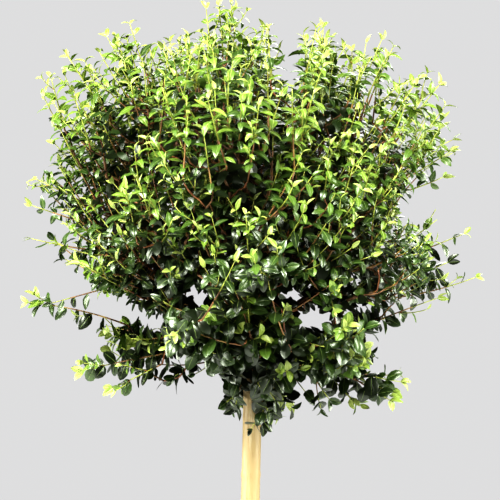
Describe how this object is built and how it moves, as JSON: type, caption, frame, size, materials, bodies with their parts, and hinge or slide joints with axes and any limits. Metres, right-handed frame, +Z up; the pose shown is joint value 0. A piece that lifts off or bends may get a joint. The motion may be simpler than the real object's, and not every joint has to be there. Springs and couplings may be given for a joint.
{
  "type": "potted standard lollipop topiary",
  "caption": "Small-leaved evergreen shrub grown as a loose round head on one straight clear stem, standing in a plain round plastic pot of compost.",
  "frame": {"origin": "middle of the pot's flat underside, on the surface that the plant stands on", "axes": "+Z up along the stem, +X to the right and -Y to the front as the plant is seen in its picture"},
  "size_m": [0.3887, 0.3625, 0.9938],
  "materials": {
    "pot_plastic": "matte",
    "compost": "matte",
    "stem_bark": "satin",
    "bough_bark": "matte",
    "young_leaves": "satin",
    "old_leaves": "satin"
  },
  "bodies": {
    "root": {"bough_1": "bough_bark", "bough_10": "bough_bark", "bough_11": "bough_bark", "bough_12": "bough_bark", "bough_13": "bough_bark", "bough_14": "bough_bark", "bough_2": "bough_bark", "bough_3": "bough_bark", "bough_4": "bough_bark", "bough_5": "bough_bark", "bough_6": "bough_bark", "bough_7": "bough_bark", "bough_8": "bough_bark", "bough_9": "bough_bark", "foliage_belt_1": "old_leaves", "foliage_belt_2": "old_leaves", "foliage_belt_3": "old_leaves", "foliage_belt_4": "old_leaves", "foliage_belt_5": "old_leaves", "foliage_belt_6": "old_leaves", "foliage_crest_1": "young_leaves", "foliage_crest_2": "young_leaves", "foliage_crest_3": "young_leaves", "foliage_crest_4": "young_leaves", "foliage_crest_5": "young_leaves", "foliage_hem_1": "old_leaves", "foliage_hem_2": "old_leaves", "foliage_hem_3": "old_leaves", "foliage_shoulder_1": "young_leaves", "foliage_shoulder_2": "young_leaves", "foliage_shoulder_3": "young_leaves", "foliage_shoulder_4": "young_leaves", "foliage_shoulder_5": "young_leaves", "foliage_shoulder_6": "young_leaves", "foliage_skirt_1": "old_leaves", "foliage_skirt_2": "old_leaves", "foliage_skirt_3": "old_leaves", "foliage_skirt_4": "old_leaves", "foliage_skirt_5": "old_leaves", "foliage_waist_1": "old_leaves", "foliage_waist_2": "old_leaves", "foliage_waist_3": "old_leaves", "foliage_waist_4": "old_leaves", "foliage_waist_5": "old_leaves", "foliage_waist_6": "old_leaves", "pot": "pot_plastic", "soil": "compost", "spray_back": "young_leaves", "spray_crest_left": "young_leaves", "spray_crest_right": "young_leaves", "spray_front": "young_leaves", "spray_left": "young_leaves", "spray_low_left": "young_leaves", "spray_low_right": "young_leaves", "spray_right": "young_leaves", "spray_top": "young_leaves", "trunk": "stem_bark"}
  },
  "joints": []
}
